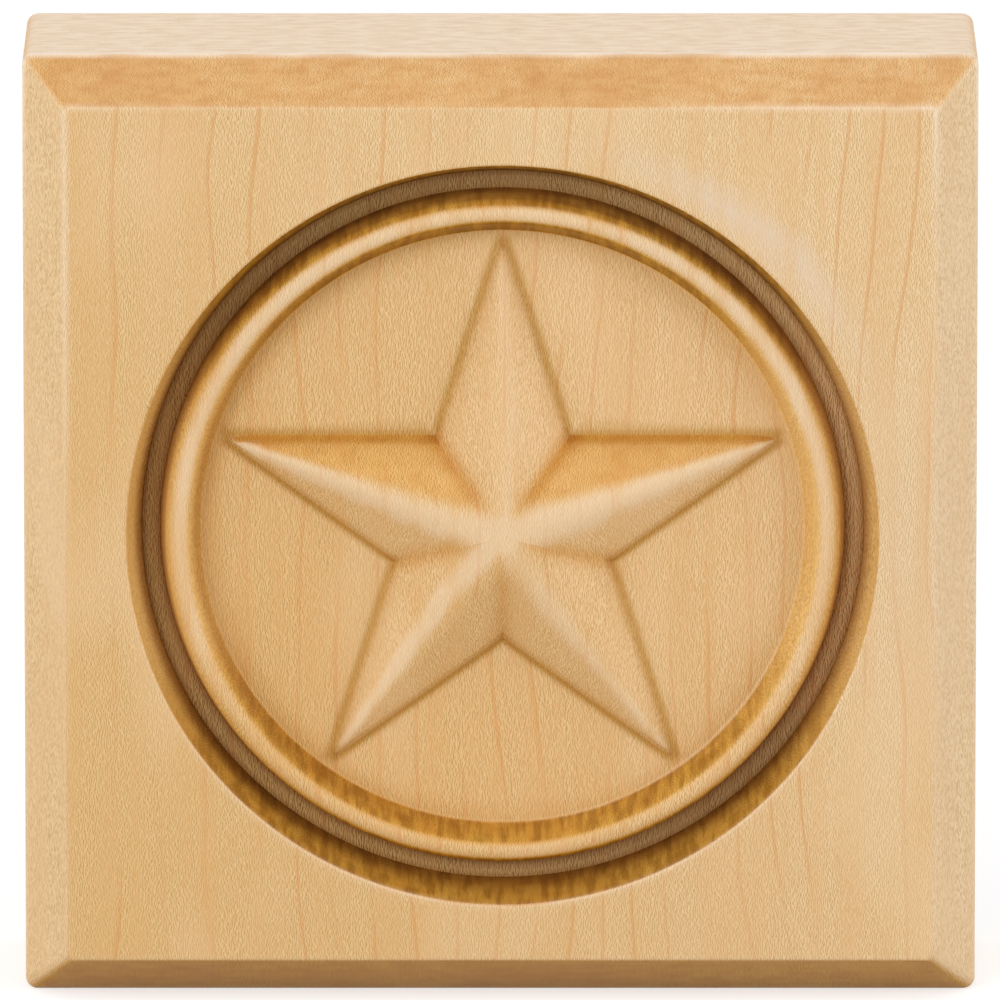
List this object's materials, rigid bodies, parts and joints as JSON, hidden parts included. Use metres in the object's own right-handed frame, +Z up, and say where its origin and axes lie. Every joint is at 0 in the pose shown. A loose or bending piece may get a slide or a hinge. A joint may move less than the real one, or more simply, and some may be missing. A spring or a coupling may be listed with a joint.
{
  "type": "corner rosette block",
  "caption": "Square maple corner block for door and window casings, with bevelled front edges and a carved star inside a round beaded recess.",
  "frame": {"origin": "middle of the flat back face, which lies against the wall", "axes": "+Z up the wall and along the grain, +Y into the wall, so the carved front faces -Y, and +X to the viewer's right"},
  "size_m": [0.0888, 0.0286, 0.0888],
  "materials": {
    "maple": "sanded hard maple, bare, with the grain running up the block"
  },
  "bodies": {
    "root": {"rosette_block": "maple"}
  },
  "joints": []
}
